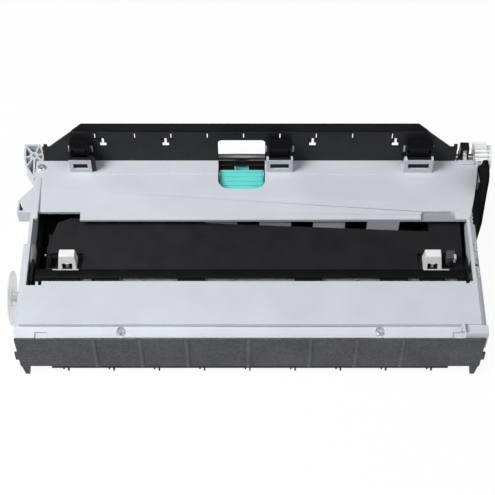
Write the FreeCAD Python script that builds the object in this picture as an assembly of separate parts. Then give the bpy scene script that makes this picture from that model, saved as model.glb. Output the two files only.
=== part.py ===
import FreeCAD, Part
import math
import os

V = FreeCAD.Vector

# Waste ink container of an office inkjet printer, with the two paper rollers
# and the side gear train that such a unit carries.
# X runs from left to right, Y from the front panel to the rear plate and Z up
# from the surface that the unit stands on. The origin lies on the flat base.
# All sizes are in millimetres.

# Gray frame
top_z = 53.0
frame_half_x = 156.35
frame_front_y = -62.9
wall = 2.0
strut_w = 2.4
skirt_bottom_z = 9.0
opening_front_y = -28.1
opening_rear_y = 25.2
step_opening_y = 6.8
step_opening_x = -121.0
crease_slope_deg = 3.8
bar_front_t = 2.0
notch_left_w = 10.6
notch_left_d = 3.4
notch_right_w = 2.6
notch_right_d = 1.7
crease_left_y = 52.8
crease_right_y = 37.0
strip_height = 0.5
strip_w = 12.0

# Ledge in front of the panel and what stands on it
ledge_drop = 3.6
ledge_front_drop = 7.0
ledge_w = 6.7
ledge_half_x = frame_half_x + 2.95
ledge_notch_x = frame_half_x - 15.15
ledge_notch_w = 8.5
ledge_notch_d = 3.5
ledge_notch_drop = 1.2
end_block_x = frame_half_x - 10.85
end_block_w = 15.2
end_tab_w = 2.1
end_tab_gap = 0.9
end_flange_drop = 20.0

# Snap loops on the bar and the tongues that hold the rear plate in them
loop_xs = (-122.6, 21.5, 122.0)
loop_ws = (16.0, 19.0, 20.8)
loop_d = 8.7
loop_h = 14.5
loop_slot_h = 5.6
loop_slot_z = 4.6
loop_wall = 1.8
tongue_play = 0.3
tongue_rise = 8.8
tongue_step = 1.6
tongue_step_h = 0.8
tongue_side = 1.0

# Tabs under the front edge of the bar, and the scoop in that edge
tab_first_x = -59.0
tab_pitch = 38.6
tab_count = 5
tab_w = 23.0
tab_drop = 17.0
tab_back = 4.2
tab_slant = 1.0
scoop_x = 134.0
scoop_w = 24.0
scoop_d = 6.5
scoop_depth = 2.9
scoop_r = 3.0

# Window for the hand, in the bar and in the plate
window_x = -6.0
window_w = 34.0
window_front_y = 52.2
window_r = 8.0
window_top = 23.4
window_top_r = 3.0

# Left lug with its screw hole, and the hook in front of it
lug_hole_x = -frame_half_x - 2.05
lug_hole_back = 5.3
lug_hole_r = 1.45
lug_hub_r = 3.4
lug_h = 12.7
lug_floor = 3.0
lug_wall = 1.4
lug_gap = 0.3
hook_w = 10.0
hook_front_y = 31.0
hook_bend_y = 41.0
hook_rear_y = 54.0
hook_h = 12.0

# Rear plate
plate_t = 1.6
plate_half_x = frame_half_x - 5.9
plate_top_half_x = frame_half_x - 36.15
plate_bevel_half_x = frame_half_x - 10.95
plate_bevel_z = 15.0
plate_h = 39.7
plate_crease_z = 32.4
plate_lean = 0.6
plate_foot = 8.0
tick_centre_x = -4.2
tick_pitch = 26.05
tick_end_gap = 28.5
tick_w = 1.4
tick_h = 7.7
tee_xs = (-105.8, -60.7, 45.2, 104.8)
tee_z = 16.3
tee_base_w = 4.7
tee_base_h = 4.5
tee_stem_w = 1.75
tee_stem_h = 9.3
tee_flag_w = 2.6
tee_flag_h = 4.2

# Front panel, its ribs and feet
panel_t = 1.6
panel_half_x = frame_half_x + 3.05
panel_bottom_z = 10.7
panel_rib_xs = (-106.0, -74.5, -43.0, -1.0, 41.0, 72.5, 104.0)
panel_rib_w = 2.4
panel_rib_t = 0.6
foot_x = frame_half_x - 0.75
foot_w = 6.0
foot_tip_w = 3.0
side_tab_w = 2.0
side_tab_h = 9.0
side_tab_drop = 24.5

# Paper guide under the front panel
guide_half_x = frame_half_x - 18.05
guide_t = 1.4
guide_bottom_z = 5.5
guide_rib_count = 9
guide_rib_pitch = 31.75
guide_rib_t = 1.0
guide_pair_gap = 3.2
guide_tip_z = 0.6
guide_short_tip = 2.0

# Ink tank and its felt
tank_half_x = frame_half_x - wall - 2.15
tank_front_y = -60.0
tank_wall = 2.0
tank_floor = 2.0
tank_rim_z = 28.0
tank_rim_t = 2.0
tank_rear_gap = 10.0
tank_bay_x = 51.0
tank_bay_wall = 1.6
felt_h = 18.0
felt_play = 0.4

# Tray deck over the tank
deck_t = 1.6
deck_rear_drop = 8.0
deck_front_drop = 15.0
deck_rear_y = 31.5
deck_right_rear_y = 20.9
deck_front_y = -8.0
deck_side_x = tank_half_x - 8.0
deck_corner_x = tank_half_x - 14.7
deck_corner_y = 27.9
deck_cut_x = tank_half_x - 24.4
deck_cut_y = 8.1
deck_bar_w = 7.0
deck_wall = 1.6
deck_wall_drop = 2.6

# White guide blocks on the deck, their strips and brackets
block_x = tank_half_x - 23.6
block_w = 13.4
block_top_d = 7.0
block_foot_d = 11.0
block_h = 11.0
block_taper = 1.2
block_y = -3.5
seat_d = 12.0
seat_inner_x = tank_half_x - 33.6
block_slot_w = 7.0
block_slot_h = 4.8
strip_len = 18.0
strip_t = 0.5
strip_d = 9.0
bracket_x = tank_half_x - 11.2
bracket_t = 1.4
bracket_h = 11.0
bracket_d = 9.0

# Shafts, rollers and the gear train on the right
front_shaft_y = -18.5
front_shaft_drop = 12.0
shaft_r = 2.5
bore_play = 0.05
shaft_left_x = -frame_half_x + 0.35
roller_xs = (-100.5, -40.8, 40.8, 100.5)
roller_r = 6.5
roller_w = 19.0
end_roller_x = tank_half_x - 25.2
end_roller_w = 17.2
clip_xs = (-74.5, -11.5, 74.5)
clip_r = 4.0
clip_t = 1.2
roller_gap = 0.6
bush_r = 4.2
bush_flange_r = 5.6
bush_flange_t = 1.0
gear_module = 1.0
gear_backlash = 0.16
gear_gap = 0.2
gear_w = 2.4
hub_extra = 0.35
hub_recess = 0.6
front_teeth = 16
idler_c_teeth = 26
idler_b_teeth = 32
idler_a_teeth = 34
rear_teeth = 20
idler_c_deg = -13.5
idler_b_deg = -6.7
idler_a_deg = -0.5
rear_deg = 27.8
stud_head_r = 4.0
stud_head_t = 0.6
stud_play = 0.15
drive_gear_gap = 1.2
drive_gear_w = 8.9
drive_hub_r = 8.6
drive_hub_w = 3.4
rear_gap_y = 10.0

# Bracket that carries the rear shaft beside the gears
cheek_t = 1.4
cheek_gap = 0.4
cheek_top = 13.2
cheek_cap_t = 1.6
cheek_w = 15.0
cheek_neck_w = 6.5
bracket_base_h = 6.0
bracket_foot_w = 3.4

# Covers over the two ends
cover_drop = 1.4
cover_play = 0.4
cover_t = 1.2
cover_rear_gap = 0.3
cover_bottom_z = 11.0
cover_slot_y = -18.0
cover_slot_w = 23.0
cover_slot_h = 7.0
cover_edge = 1.2
left_cover_drop = 11.0
left_cover_out = 4.7
left_cover_rear_y = 11.0

# Black side arm at the right end
arm_x = frame_half_x + 10.7
arm_t = 2.6
arm_bottom_y = 41.0
arm_w = 27.0
arm_top_z = 77.0
arm_flange_h = 9.0
arm_flange_d = 16.0

# Wheel at the left end
wheel_y = -24.6
wheel_z = 25.6
wheel_r = 19.2
wheel_t = 0.9
wheel_rim_t = 1.4
wheel_rim_w = 2.0
wheel_gap = 6.25
wheel_hub_r = 5.0
wheel_hub_w = 5.0
axle_r = 2.0

# Release latch
latch_w = 32.0
latch_d = 20.0
latch_t = 3.0
latch_front_drop = 9.0
latch_rear_drop = 3.4
latch_travel = 5.0
latch_rib_count = 6
latch_rib_h = 0.7
latch_rib_w = 1.3
latch_rail_w = 3.0
latch_rail_t = 2.6
latch_rail_drop = 14.0
latch_play = 0.3
bolt_w = 10.0
bolt_t = 4.0
bolt_len = 24.0
guide_arm_t = 1.6
spring_r = 2.4
spring_wire_r = 0.35
spring_len = 12.0
spring_turns = 5
spring_steps = 12
spring_sides = 4
spring_post_len = 4.0
guard_r = 5.2
guard_t = 1.5

# Screws
screw_r = 1.5
screw_len = 6.0
screw_head_r = 2.9
screw_head_h = 1.8
screw_boss_r = 3.6
ledge_screw_xs = (-87.0, 88.0)
ledge_screw_in = 3.8
corner_screw_in = 4.4
corner_screw_back = 7.0

# Places that follow from the sizes above
front_shaft_z = top_z - front_shaft_drop
gear_x = frame_half_x + gear_gap + hub_extra
cover_x = gear_x + gear_w + cover_play + cover_t
drive_gear_x = gear_x + gear_w + cheek_gap + cheek_t + bracket_foot_w + drive_gear_gap
wheel_x = -frame_half_x - left_cover_out - wheel_gap


def along(start, angle_deg, teeth_one, teeth_two):
    """Centre of a gear that meshes with one at start, in the given direction."""
    reach = gear_module * (teeth_one + teeth_two) / 2
    angle = math.radians(angle_deg)
    return (start[0] + reach * math.cos(angle), start[1] + reach * math.sin(angle))


front_centre = (front_shaft_y, front_shaft_z)
idler_c_centre = along(front_centre, idler_c_deg, front_teeth, idler_c_teeth)
idler_b_centre = along(idler_c_centre, idler_b_deg, idler_c_teeth, idler_b_teeth)
idler_a_centre = along(idler_b_centre, idler_a_deg, idler_b_teeth, idler_a_teeth)
rear_centre = along(idler_a_centre, rear_deg, idler_a_teeth, rear_teeth)
rear_y = rear_centre[0] - rear_gap_y
opening_side_x = frame_half_x - strut_w
skirt_x = frame_half_x - wall
ledge_z = top_z - ledge_drop
ledge_edge_z = top_z - ledge_front_drop
ledge_front_y = frame_front_y - ledge_w
window_left = window_x - window_w / 2
window_right = window_x + window_w / 2
tank_rear_y = rear_y - tank_rear_gap
loop_y = rear_y - loop_d - plate_lean - wall
strip_y = rear_y - strip_w


# Shape helpers
def box(x0, x1, y0, y1, z0, z1):
    return Part.makeBox(x1 - x0, y1 - y0, z1 - z0, V(x0, y0, z0))


def face_of(points):
    return Part.Face(Part.makePolygon(points + [points[0]]))


def slab_x(outline, x0, x1):
    """Prism along X over an outline of (y, z) points."""
    return face_of([V(x0, y, z) for y, z in outline]).extrude(V(x1 - x0, 0, 0))


def slab_y(outline, y0, y1):
    """Prism along Y over an outline of (x, z) points."""
    return face_of([V(x, y0, z) for x, z in outline]).extrude(V(0, y1 - y0, 0))


def slab_z(outline, z0, z1):
    """Prism along Z over an outline of (x, y) points."""
    return face_of([V(x, y, z0) for x, y in outline]).extrude(V(0, 0, z1 - z0))


def rod_x(centre, r, x0, x1):
    return Part.makeCylinder(r, x1 - x0, V(x0, centre[0], centre[1]), V(1, 0, 0))


def rod_y(x, z, r, y0, y1):
    return Part.makeCylinder(r, y1 - y0, V(x, y0, z), V(0, 1, 0))


def rod_z(x, y, r, z0, z1):
    return Part.makeCylinder(r, z1 - z0, V(x, y, z0), V(0, 0, 1))


def joined(solids):
    return solids[0].fuse(solids[1:]).removeSplitter()


def cut(solid, tools):
    return solid.cut(Part.makeCompound(tools))


def both_sides(make):
    """The same feature on the left (-1) and on the right (1)."""
    return [make(-1), make(1)]


def mirrored_box(side, x0, x1, y0, y1, z0, z1):
    low, high = sorted((side * x0, side * x1))
    return box(low, high, y0, y1, z0, z1)


def rounded(centre, w, r_corner, corner_y, y0, y1, z0, z1):
    """Block with the two corners at corner_y rounded in plan."""
    block = box(centre - w / 2, centre + w / 2, y0, y1, z0, z1)
    edges = [e for e in block.Edges if abs(e.CenterOfMass.y - corner_y) < 0.01 and abs(e.tangentAt(0).z) > 0.9]
    return block.makeFillet(r_corner, edges)


# Gray frame
def frame_plan():
    """Outline of the top face. The right end flares out to meet the side arm."""
    flare_start = V(frame_half_x, opening_rear_y, 0)
    flare_mid = V(frame_half_x + 0.61 * (arm_x - frame_half_x), (opening_rear_y + rear_y) / 2, 0)
    flare_end = V(arm_x, rear_y - wall, 0)
    corners = [
        flare_end,
        V(arm_x, rear_y, 0),
        V(-frame_half_x, rear_y, 0),
        V(-frame_half_x, frame_front_y, 0),
        V(frame_half_x, frame_front_y, 0),
        flare_start,
    ]
    edges = [Part.Arc(flare_start, flare_mid, flare_end).toShape()]
    for start, end in zip(corners, corners[1:]):
        edges.append(Part.LineSegment(start, end).toShape())
    plan = Part.Face(Part.Wire(edges))
    plan.translate(V(0, 0, top_z - wall))
    return plan.extrude(V(0, 0, wall))


def frame_openings():
    """The big opening over the tray with its corner notches, and the window for the hand."""
    low = top_z - wall - 1
    high = top_z + 1
    main = box(-opening_side_x, opening_side_x, opening_front_y, opening_rear_y, low, high)
    step_y = opening_rear_y + step_opening_y
    step = box(-opening_side_x, step_opening_x, opening_front_y, step_y, low, high)
    window = rounded(window_x, window_w, window_r, window_front_y, window_front_y, rear_y + 1, low, high)
    left = -opening_side_x
    left_notch = box(left, left + notch_left_w, opening_front_y - notch_left_d, opening_front_y + 1, low, high)
    right = opening_side_x - notch_right_w
    right_notch = box(right - notch_right_w, right, opening_front_y - notch_right_d, opening_front_y + 1, low, high)
    return [main, step, window, left_notch, right_notch]


def bar_thickening():
    """Extra depth under the front of the bar, where its top slopes down."""
    outline = [
        (step_opening_x, opening_rear_y),
        (opening_side_x, opening_rear_y),
        (opening_side_x, crease_right_y),
        (-opening_side_x, crease_left_y),
        (-opening_side_x, opening_rear_y + step_opening_y),
        (step_opening_x, opening_rear_y + step_opening_y),
    ]
    return slab_z(outline, top_z - wall - bar_front_t, top_z - wall)


def bar_slope():
    """What the bar loses in front of its crease, where the top slopes down to the opening."""
    length = arm_x + opening_side_x
    tool = Part.makeBox(2 * length, 3 * strip_w, 5 * wall, V(-length / 2, -3 * strip_w, 0))
    tool.rotate(V(0, 0, 0), V(1, 0, 0), crease_slope_deg)
    tool.rotate(V(0, 0, 0), V(0, 0, 1), math.degrees(math.atan2(crease_right_y - crease_left_y, length)))
    tool.translate(V(-opening_side_x, crease_left_y, top_z))
    return tool.common(box(-opening_side_x, arm_x + 1, opening_rear_y - 1, rear_y, ledge_edge_z, top_z + 5 * wall))


def frame_walls():
    """Skirts on both sides and at the rear, and the step down to the ledge."""
    low = skirt_bottom_z
    walls = both_sides(
        lambda side: mirrored_box(side, skirt_x, frame_half_x, frame_front_y, rear_y, low, top_z - wall)
    )
    rear_low = top_z - 3 * front_shaft_drop
    walls.append(box(-frame_half_x, window_left, rear_y - wall, rear_y, rear_low, top_z - wall))
    walls.append(box(window_right, frame_half_x, rear_y - wall, rear_y, rear_low, top_z - wall))
    walls.append(box(-frame_half_x, frame_half_x, frame_front_y, frame_front_y + wall, ledge_z - wall, top_z))
    sheet = [
        (ledge_front_y, ledge_edge_z - wall), (ledge_front_y, ledge_edge_z), (frame_front_y, ledge_z),
        (frame_front_y, ledge_z - wall)]
    walls.append(slab_x(sheet, -ledge_half_x, ledge_half_x))
    end = [
        (ledge_front_y, skirt_bottom_z + wall), (ledge_front_y, ledge_edge_z), (frame_front_y, ledge_z),
        (frame_front_y, skirt_bottom_z + wall)]
    walls.append(slab_x(end, -ledge_half_x, -skirt_x))
    walls.append(slab_x(end, skirt_x, ledge_half_x))
    strip_x0 = loop_xs[0] - loop_ws[0] / 2
    strip_x1 = loop_xs[2] - loop_ws[2] / 2
    strip = box(strip_x0, strip_x1, strip_y, rear_y, top_z, top_z + strip_height)
    window = rounded(window_x, window_w, window_r, window_front_y, window_front_y, rear_y + 1, top_z, top_z + 1)
    walls.append(strip.cut(window))
    return walls


def ledge_at(y):
    """Height of the sloping ledge at a place along Y."""
    return ledge_edge_z + (ledge_z - ledge_edge_z) * (y - ledge_front_y) / ledge_w


def frame_loop(x, loop_w):
    """One snap loop: a channel open at the rear and top, with a slot in its front."""
    body = box(x - loop_w / 2, x + loop_w / 2, loop_y, loop_y + loop_d, top_z, top_z + loop_h)
    inner_w = loop_w - 2 * loop_wall
    pocket = box(
        x - inner_w / 2, x + inner_w / 2, loop_y + loop_wall, loop_y + loop_d + 1, top_z + strip_height, top_z + loop_h + 1)
    slot = box(
        x - inner_w / 2 + 1, x + inner_w / 2 - 1, loop_y - 1, loop_y + loop_wall + 1,
        top_z + loop_slot_z, top_z + loop_slot_z + loop_slot_h)
    return body.cut(pocket).cut(slot)


def frame_ledge_end():
    """Raised block, upright tab and side flange at the right end of the ledge."""
    x1 = end_block_x + end_block_w
    block = box(end_block_x, x1, ledge_front_y, frame_front_y, ledge_edge_z - wall, top_z - end_tab_w / 2)
    tab_x = end_block_x - end_tab_gap
    tab = box(tab_x - end_tab_w, tab_x, ledge_front_y, frame_front_y, ledge_edge_z - wall, top_z + end_tab_w)
    flange = box(x1 - wall, x1, ledge_front_y, frame_front_y, top_z - end_flange_drop, ledge_z)
    return [block, tab, flange]


def frame_notches():
    """The two shallow notches in the ledge's front edge."""
    front = ledge_front_y - 1
    rear = ledge_front_y + ledge_notch_d
    outline = [
        (front, ledge_at(front) - ledge_notch_drop), (rear, ledge_at(rear) - ledge_notch_drop),
        (rear, top_z + 1), (front, top_z + 1)]
    half = ledge_notch_w / 2
    return both_sides(lambda side: slab_x(outline, side * ledge_notch_x - half, side * ledge_notch_x + half))


def frame_lug():
    """Left rear lug: a cored web with ribs from its screw hub to the corners."""
    hub_y = rear_y + lug_hole_back
    hub_x = lug_hole_x
    edge_x = -plate_half_x - lug_gap
    outline = [
        (hub_x - 8.0, hub_y + 10.2),
        (hub_x + 3.3, hub_y + 10.6),
        (edge_x, hub_y + 1.2),
        (edge_x - 0.6, hub_y - 5.1),
        (hub_x + 1.4, hub_y - 22.0),
        (hub_x - 5.3, hub_y - 11.3),
        (hub_x - 7.7, hub_y - 2.0),
    ]
    low = top_z - lug_h
    body = slab_z(outline, low, top_z)
    plan = face_of([V(x, y, low + lug_floor) for x, y in outline]).makeOffset2D(-lug_wall)
    core = plan.extrude(V(0, 0, lug_h))
    ribs = [rod_z(hub_x, hub_y, lug_hub_r, low, top_z)]
    for x, y in outline:
        reach = math.hypot(x - hub_x, y - hub_y)
        rib = box(0, reach, -lug_wall / 2, lug_wall / 2, low, top_z)
        rib.rotate(V(0, 0, 0), V(0, 0, 1), math.degrees(math.atan2(y - hub_y, x - hub_x)))
        rib.translate(V(hub_x, hub_y, 0))
        ribs.append(rib.common(body))
    ribs.append(rod_x(rear_centre, shaft_r + wall, hub_x, edge_x).common(body))
    bearing = rod_x(rear_centre, shaft_r + bore_play, shaft_left_x - bore_play, hub_x + 10)
    hole = rod_z(hub_x, hub_y, lug_hole_r, low - 1, top_z + 1)
    return joined([body.cut(core)] + ribs), [bearing, hole]


def frame_hook():
    """Left hook in front of the lug, with a V-shaped pocket from above."""
    x0 = -frame_half_x
    low = top_z - hook_h
    outline = [(x0, hook_rear_y), (x0 - hook_w, hook_bend_y), (x0 - hook_w, hook_front_y), (x0, hook_front_y)]
    inner = [
        (x0 - hook_w + lug_wall, hook_front_y + lug_wall),
        (x0 - hook_w / 2, hook_front_y + lug_wall),
        (x0 - hook_w + lug_wall, hook_bend_y - lug_wall),
    ]
    return slab_z(outline, low, top_z).cut(slab_z(inner, low + lug_floor, top_z + 1))


def frame_tabs():
    """Five tabs that hang from the bar behind its front edge."""
    tabs = []
    for i in range(tab_count):
        x = tab_first_x + i * tab_pitch
        y = opening_rear_y + tab_back - i * tab_slant
        tabs.append(box(x - tab_w / 2, x + tab_w / 2, y, y + wall, top_z - tab_drop, top_z - wall))
    return tabs


def frame_latch_guides():
    """Channels under the bar that carry the latch's rails, and the spring's stop."""
    parts = []
    rail_low = top_z - latch_rail_drop
    rail_high = rail_low + latch_rail_t
    outer = latch_w / 2 + latch_rail_w + latch_play + guide_arm_t
    y1 = rear_y - wall
    y0 = window_front_y - latch_travel
    for side in (-1, 1):
        def part(a, b, z0, z1):
            low, high = sorted((window_x + side * a, window_x + side * b))
            return box(low, high, y0, y1, z0, z1)
        parts.append(part(outer - guide_arm_t, outer, rail_low - latch_play - guide_arm_t, top_z - wall))
        parts.append(part(latch_w / 2 + latch_play, outer, rail_low - latch_play - guide_arm_t, rail_low - latch_play))
        parts.append(part(
            latch_w / 2 + latch_play, outer, rail_high + latch_play, rail_high + latch_play + guide_arm_t))
    stop_y = spring_stop_y()
    half = latch_w / 4
    parts.append(box(
        window_x - half, window_x + half, stop_y - guide_arm_t, stop_y,
        spring_z() - spring_r - guide_arm_t, top_z - wall))
    return parts


def spring_z():
    """Height of the latch spring's axis: the middle of the rails."""
    return top_z - latch_rail_drop + latch_rail_t / 2


def latch_front_y():
    return window_front_y - latch_play


def spring_stop_y():
    """Face that the latch spring pushes against."""
    return latch_front_y() - spring_len


def arm_flange():
    """Flange that hangs from the flared end of the bar and carries the arm."""
    y1 = rear_y - wall
    return box(arm_x - wall, arm_x, y1 - arm_flange_d, y1, top_z - wall - arm_flange_h, top_z - wall)


def arm_screw_place():
    return (rear_y - wall - arm_flange_d / 2, top_z - wall - arm_flange_h / 2)


def frame_screw_places():
    """Foot of each screw head: two on the ledge, one at the bar's left corner."""
    y = ledge_front_y + ledge_screw_in
    places = [(x, y, ledge_at(y - screw_head_r)) for x in ledge_screw_xs]
    places.append((-frame_half_x + corner_screw_in, rear_y - corner_screw_back, top_z))
    return places


def top_frame():
    plan = cut(frame_plan(), frame_openings())
    lug, lug_holes = frame_lug()
    solids = [plan, lug, frame_hook(), arm_flange()]
    solids += frame_walls() + frame_tabs() + frame_latch_guides() + frame_ledge_end()
    solids += [frame_loop(x, w) for x, w in zip(loop_xs, loop_ws)]
    solids.append(bar_thickening())
    holes = frame_notches() + lug_holes + [bar_slope()]
    for x, y, z in frame_screw_places():
        solids.append(rod_z(x, y, screw_boss_r, z - wall - screw_len, z))
        holes.append(rod_z(x, y, screw_r + bore_play, z - screw_len - 1, z + 1))
        holes.append(rod_z(x, y, screw_head_r + cheek_gap / 2, z, z + 2 * wall))
    scoop_y = opening_rear_y + scoop_d
    holes.append(rounded(
        scoop_x, scoop_w, scoop_r, scoop_y, opening_rear_y - 1, scoop_y, top_z - scoop_depth, top_z + 1))
    for centre in (idler_a_centre, idler_b_centre, idler_c_centre):
        holes.append(rod_x(centre, shaft_r, skirt_x - 1, frame_half_x + 1))
    holes.append(rod_x(front_centre, bush_r, skirt_x - 1, frame_half_x + 1))
    holes.append(rod_x((wheel_y, wheel_z), axle_r, -frame_half_x - 1, -skirt_x + 1))
    arm_y, arm_z = arm_screw_place()
    holes.append(rod_x((arm_y, arm_z), screw_r + bore_play, arm_x - wall - 1, arm_x + 1))
    return cut(joined(solids), holes)


# Rear plate
def plate_outline(z0, z1):
    """Plate outline between two heights above the frame's top face."""
    slope = (plate_bevel_half_x - plate_top_half_x) / (plate_h - plate_bevel_z)

    def half_at(z):
        if z < plate_bevel_z:
            return plate_half_x
        return plate_bevel_half_x - slope * (z - plate_bevel_z)
    points = [(-half_at(z0), z0), (half_at(z0), z0)]
    if z0 < plate_bevel_z:
        points += [(plate_half_x, plate_bevel_z), (plate_bevel_half_x, plate_bevel_z)]
    points += [(half_at(z1), z1), (-half_at(z1), z1)]
    if z0 < plate_bevel_z:
        points += [(-plate_bevel_half_x, plate_bevel_z), (-plate_half_x, plate_bevel_z)]
    return [(x, top_z + z) for x, z in points]


def plate_tongue(x, loop_w):
    """Snap tongue: a block above the loop with a narrower key inside it."""
    inner = loop_w / 2 - loop_wall - tongue_play
    front = loop_y + loop_wall + tongue_play
    low = top_z + strip_height + tongue_play
    step_z = top_z + loop_h + tongue_step_h
    key = box(x - inner, x + inner, front, rear_y, low, step_z)
    half = loop_w / 2 - tongue_side
    front += tongue_step
    head = box(x - half, x + half, front, rear_y, top_z + loop_h, top_z + loop_h + tongue_rise)
    slots = both_sides(lambda side: box(
        x + side * (half - 2) - 0.6, x + side * (half - 2) + 0.6, front - 1, front + 2,
        top_z + loop_h + 3, top_z + loop_h + 7))
    return cut(joined([key, head]), slots)


def tick_xs():
    """Nine tick slots: seven at the pitch and one further out at each end."""
    xs = [tick_centre_x + i * tick_pitch for i in range(-3, 4)]
    return [xs[0] - tick_end_gap] + xs + [xs[-1] + tick_end_gap]


def rear_plate():
    lower = slab_y(plate_outline(0, plate_crease_z), rear_y, rear_y + plate_t)
    lip = slab_y(plate_outline(plate_crease_z, plate_h), rear_y + plate_lean, rear_y + plate_t + plate_lean)
    foot = box(-plate_half_x, plate_half_x, rear_y, rear_y + plate_t, top_z - plate_foot, top_z)
    solids = [lower, lip, foot] + [plate_tongue(x, w) for x, w in zip(loop_xs, loop_ws)]
    holes = []
    for x in tick_xs():
        z = top_z + plate_crease_z
        holes.append(box(x - tick_w / 2, x + tick_w / 2, rear_y - 1, rear_y + 3 * plate_t, z - tick_h, z))
    for x in tee_xs:
        z = top_z + tee_z
        holes.append(box(x - tee_base_w / 2, x + tee_base_w / 2, rear_y - 1, rear_y + 3, z, z + tee_base_h))
        holes.append(box(x - tee_stem_w / 2, x + tee_stem_w / 2, rear_y - 1, rear_y + 3, z, z + tee_stem_h))
        high = z + tee_stem_h
        holes.append(box(x - tee_stem_w / 2 - tee_flag_w, x, rear_y - 1, rear_y + 3, high - tee_flag_h, high))
    low = top_z - plate_foot - 1
    high = top_z + window_top
    opening = box(window_left, window_right, rear_y - 1, rear_y + 2 * plate_t, low, high)
    corners = [e for e in opening.Edges if abs(e.tangentAt(0).y) > 0.9 and e.CenterOfMass.z > top_z]
    holes.append(opening.makeFillet(window_top_r, corners))
    holes.append(box(
        window_left - 2 * wall, window_right + 2 * wall, rear_y - 1, rear_y + 2 * plate_t, low, top_z - wall))
    return cut(joined(solids), holes)


# Front panel and paper guide
def front_panel():
    front = ledge_front_y - panel_t
    sheet = box(-panel_half_x, panel_half_x, front, ledge_front_y, panel_bottom_z, ledge_edge_z)
    solids = [sheet]
    for x in panel_rib_xs:
        solids.append(box(
            x - panel_rib_w / 2, x + panel_rib_w / 2, front - panel_rib_t, front, panel_bottom_z, ledge_edge_z))
    for side in (-1, 1):
        x = side * foot_x
        foot = [
            (x - foot_w / 2, panel_bottom_z),
            (x + foot_w / 2, panel_bottom_z),
            (x + foot_tip_w / 2, 0),
            (x - foot_tip_w / 2, 0),
        ]
        solids.append(slab_y(foot, front, ledge_front_y + panel_t))
        solids.append(mirrored_box(
            side, panel_half_x, panel_half_x + side_tab_w, front, ledge_front_y,
            top_z - side_tab_drop - side_tab_h, top_z - side_tab_drop))
    return joined(solids)


def guide_pair(x, y0, y1, high):
    """Two paper ribs close together, one a little shorter than the other."""
    ribs = []
    for offset, low in ((0, guide_tip_z), (-guide_pair_gap, guide_tip_z + guide_short_tip)):
        outline = [(y0, high), (y1, high), (y1, low), (y0 + guide_rib_t, low), (y0, low + guide_rib_t)]
        ribs.append(slab_x(outline, x + offset - guide_rib_t / 2, x + offset + guide_rib_t / 2))
    return ribs


def bottom_guide():
    y0 = ledge_front_y
    high = panel_bottom_z + 6 * guide_t
    solids = [box(-guide_half_x, guide_half_x, y0, y0 + guide_t, guide_bottom_z, high)]
    solids.append(box(-guide_half_x, guide_half_x, y0, tank_front_y, high - guide_t, high))
    first = -guide_rib_pitch * (guide_rib_count - 1) / 2
    for i in range(guide_rib_count):
        solids += guide_pair(first + i * guide_rib_pitch, y0, tank_front_y, high)
    return joined(solids)


# Tank and felt
def tank_bays():
    """Inner limits along X of the tank's three bays."""
    inner = tank_half_x - tank_wall
    half = tank_bay_wall / 2
    return [
        (-inner, -tank_bay_x - half),
        (-tank_bay_x + half, tank_bay_x - half),
        (tank_bay_x + half, inner),
    ]


def ink_tank():
    body = box(-tank_half_x, tank_half_x, tank_front_y, tank_rear_y, 0, tank_rim_z)
    rim = box(-skirt_x, skirt_x, tank_front_y, tank_rear_y, tank_rim_z, tank_rim_z + tank_rim_t)
    solid = joined([body, rim])
    bays = [
        box(x0, x1, tank_front_y + tank_wall, tank_rear_y - tank_wall, tank_floor, tank_rim_z + tank_rim_t + 1)
        for x0, x1 in tank_bays()
    ]
    return cut(solid, bays)


def felt_pad(bay):
    x0, x1 = tank_bays()[bay]
    return box(
        x0 + felt_play, x1 - felt_play,
        tank_front_y + tank_wall + felt_play, tank_rear_y - tank_wall - felt_play,
        tank_floor, tank_floor + felt_h)


# Deck over the tank
def deck_z(y):
    """Top of the sloping deck at a place along Y."""
    share = (y - deck_front_y) / (deck_rear_y - deck_front_y)
    drop = deck_front_drop + share * (deck_rear_drop - deck_front_drop)
    return top_z - drop


def deck_bearing_walls(side):
    """End wall that stands on the tank's rim and carries the front shaft."""
    low = tank_rim_z + tank_rim_t
    y0 = opening_front_y + wall
    x1 = tank_half_x
    return mirrored_box(side, x1 - deck_wall, x1, y0, deck_front_y, low, top_z - deck_wall_drop)


def deck_seat(side, z0, z1):
    """Flat seat for a guide block and its bracket, between two heights."""
    return mirrored_box(side, seat_inner_x, deck_side_x, deck_front_y, deck_front_y + seat_d, z0, z1)


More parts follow.
